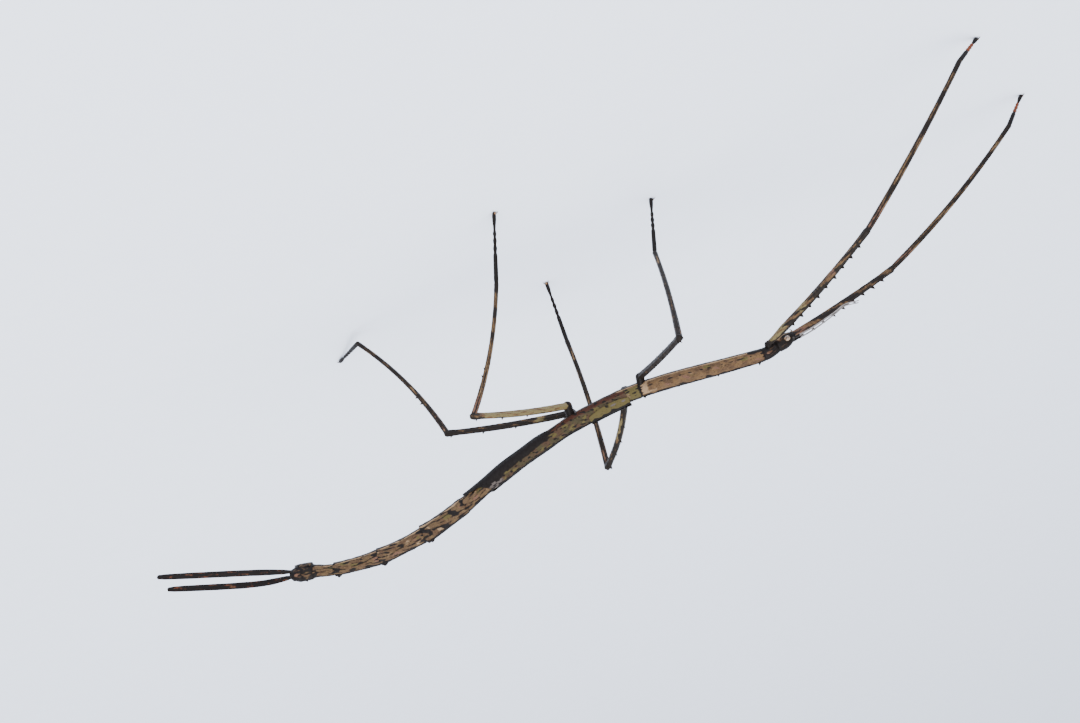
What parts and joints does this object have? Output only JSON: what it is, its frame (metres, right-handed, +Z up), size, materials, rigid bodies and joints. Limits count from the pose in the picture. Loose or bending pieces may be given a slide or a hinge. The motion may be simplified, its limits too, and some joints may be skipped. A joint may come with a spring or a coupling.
{
  "type": "stick insect model",
  "caption": "Female gargantuan stick insect, life size, standing still with its forelegs stretched forward, folded wings and long leaf-like cerci.",
  "frame": {"origin": "on the floor, under the middle of the whole animal's box", "axes": "+X from tail to head along the body's length, +Y to the insect's left, +Z up from the floor"},
  "size_m": [0.5512, 0.1316, 0.1492],
  "materials": {
    "thorax_cuticle": "satin tan to brown cuticle with fine dark dashes and granules",
    "abdomen_cuticle": "satin brown cuticle mottled with olive and pink patches",
    "head_cuticle": "dark brown cuticle with pale stripes",
    "wing_membrane": "leathery folded wing, black-brown with olive patches and long veins",
    "leg_cuticle": "grey-brown ridged cuticle with dark and pale bands",
    "dark_cuticle": "black-brown satin cuticle",
    "antenna_cuticle": "pale grey-brown thread",
    "eye": "glossy dark brown compound eye"
  },
  "bodies": {
    "root": {"abdomen_10": "abdomen_cuticle", "abdomen_2": "abdomen_cuticle", "abdomen_3": "abdomen_cuticle", "abdomen_4": "abdomen_cuticle", "abdomen_5": "abdomen_cuticle", "abdomen_6": "abdomen_cuticle", "abdomen_7": "abdomen_cuticle", "abdomen_8": "abdomen_cuticle", "abdomen_9": "abdomen_cuticle", "antenna_left": "antenna_cuticle", "antenna_right": "antenna_cuticle", "cercus_left": "dark_cuticle", "cercus_right": "dark_cuticle", "eye_left": "eye", "eye_right": "eye", "fore_left_coxa": "dark_cuticle", "fore_left_femur": "leg_cuticle", "fore_left_tarsus": "dark_cuticle", "fore_left_tibia": "leg_cuticle", "fore_right_coxa": "dark_cuticle", "fore_right_femur": "leg_cuticle", "fore_right_tarsus": "dark_cuticle", "fore_right_tibia": "leg_cuticle", "head": "head_cuticle", "hind_left_coxa": "dark_cuticle", "hind_left_femur": "leg_cuticle", "hind_left_tarsus": "dark_cuticle", "hind_left_tibia": "leg_cuticle", "hind_right_coxa": "dark_cuticle", "hind_right_femur": "leg_cuticle", "hind_right_tarsus": "dark_cuticle", "hind_right_tibia": "leg_cuticle", "hindwing_left": "wing_membrane", "hindwing_right": "wing_membrane", "mesothorax": "thorax_cuticle", "metathorax": "thorax_cuticle", "mid_left_coxa": "dark_cuticle", "mid_left_femur": "leg_cuticle", "mid_left_tarsus": "dark_cuticle", "mid_left_tibia": "leg_cuticle", "mid_right_coxa": "dark_cuticle", "mid_right_femur": "leg_cuticle", "mid_right_tarsus": "dark_cuticle", "mid_right_tibia": "leg_cuticle", "operculum": "abdomen_cuticle", "prothorax": "head_cuticle", "tegmen_left": "wing_membrane", "tegmen_right": "wing_membrane"}
  },
  "joints": []
}
